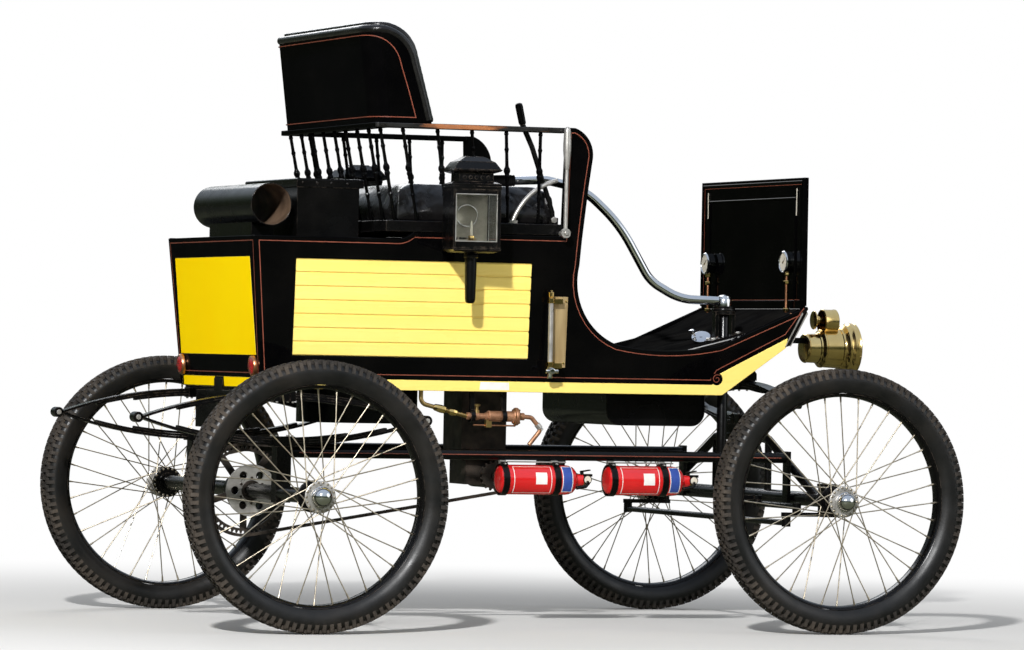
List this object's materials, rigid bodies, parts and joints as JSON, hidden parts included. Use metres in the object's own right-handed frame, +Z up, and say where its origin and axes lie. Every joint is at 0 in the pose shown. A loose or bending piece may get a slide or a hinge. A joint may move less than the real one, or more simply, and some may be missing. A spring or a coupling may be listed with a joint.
{
  "type": "steam runabout",
  "caption": "Tiller-steered steam runabout on wire wheels, with a panelled carriage body, railed bench seat, carriage lamps, brass front lamp, sprung axles and chain drive.",
  "frame": {"origin": "on the ground at the middle of the overall length and width", "axes": "+X forward along the car, +Y to the car's left, +Z up"},
  "size_m": [2.2426, 1.522, 1.6132],
  "materials": {
    "black_body": "gloss black coach paint",
    "black_metal": "satin black enamel",
    "yellow_paint": "gloss yellow coach paint",
    "board": "dark painted board",
    "leather": "black leather",
    "rail_wood": "turned wood, black paint worn to brown on the edges",
    "brass": "polished brass",
    "chrome": "plated and polished",
    "steel": "bright steel",
    "iron": "dark oiled iron",
    "glass": "clear glass",
    "red": "gloss red",
    "rubber": "black tyre rubber"
  },
  "bodies": {
    "chassis": {"side_panels": "black_body", "body_insets": "yellow_paint", "rear_panel": "black_body", "rear_deck": "black_body", "sill_boards": "yellow_paint", "body_floor": "board", "toe_board": "board", "dash": "black_body", "dash_gauges": "chrome", "seat_box": "board", "seat_cushion": "leather", "seat_back": "black_body", "seat_back_pad": "leather", "seat_rail": "rail_wood", "smoke_box": "black_metal", "flue": "black_metal", "boiler": "iron", "engine": "iron", "under_tank": "black_metal", "headlamp": "brass", "side_lamps": "black_metal", "lamp_glass": "glass", "water_gauge": "brass", "reflectors": "red", "number_plate": "black_metal", "extinguishers": "red", "extinguisher_brackets": "black_metal", "controls": "black_metal", "front_axle": "black_metal", "tiller_column": "black_metal", "rear_springs": "black_metal", "front_spring": "black_metal", "reach_frame": "black_metal", "rear_axle": "steel", "drive_chain": "iron", "feed_pump": "brass"},
    "knuckle_right": {"knuckle_right": "black_metal"},
    "knuckle_left": {"knuckle_left": "black_metal"},
    "tie_rod": {"tie_rod": "black_metal"},
    "drag_link": {"drag_link": "black_metal"},
    "tiller": {"tiller": "chrome"},
    "wheel_rear_right": {"wheel_rear_right": "black_metal", "tyre_rear_right": "rubber"},
    "wheel_rear_left": {"wheel_rear_left": "black_metal", "tyre_rear_left": "rubber"},
    "wheel_front_right": {"wheel_front_right": "black_metal", "tyre_front_right": "rubber"},
    "wheel_front_left": {"wheel_front_left": "black_metal", "tyre_front_left": "rubber"}
  },
  "joints": [
    {"name": "steer_right", "type": "hinge", "parent": "chassis", "child": "knuckle_right", "pos_m": [0.76575, -0.585, 0.3555], "axis": [0, 0, 1], "range_deg": [-22, 22]},
    {"name": "steer_left", "type": "hinge", "parent": "chassis", "child": "knuckle_left", "pos_m": [0.76575, 0.585, 0.3555], "axis": [0, 0, 1], "range_deg": [-22, 22]},
    {"name": "tiller_turn", "type": "hinge", "parent": "chassis", "child": "tiller", "pos_m": [0.57725, -0.308, 0.8], "axis": [0, 0, 1], "range_deg": [-16.28, 16.28]},
    {"name": "tie_rod_pivot", "type": "hinge", "parent": "knuckle_right", "child": "tie_rod", "pos_m": [0.65575, -0.585, 0.298], "axis": [0, 0, 1], "range_deg": [-22, 22]},
    {"name": "drag_link_pivot", "type": "hinge", "parent": "knuckle_right", "child": "drag_link", "pos_m": [0.68575, -0.585, 0.338], "axis": [0, 0, 1], "range_deg": [-22, 22]},
    {"name": "spin_rear_right", "type": "hinge", "parent": "chassis", "child": "wheel_rear_right", "pos_m": [-0.70725, -0.686, 0.3555], "axis": [0, 1, 0], "continuous": true},
    {"name": "spin_rear_left", "type": "hinge", "parent": "chassis", "child": "wheel_rear_left", "pos_m": [-0.70725, 0.686, 0.3555], "axis": [0, 1, 0], "continuous": true},
    {"name": "spin_front_right", "type": "hinge", "parent": "knuckle_right", "child": "wheel_front_right", "pos_m": [0.76575, -0.686, 0.3555], "axis": [0, 1, 0], "continuous": true},
    {"name": "spin_front_left", "type": "hinge", "parent": "knuckle_left", "child": "wheel_front_left", "pos_m": [0.76575, 0.686, 0.3555], "axis": [0, 1, 0], "continuous": true}
  ],
  "couplings": [
    {"joint": "steer_left", "follows": "steer_right", "ratio": 1},
    {"joint": "tiller_turn", "follows": "steer_right", "ratio": -0.74},
    {"joint": "tie_rod_pivot", "follows": "steer_right", "ratio": -1},
    {"joint": "drag_link_pivot", "follows": "steer_right", "ratio": -1}
  ]
}
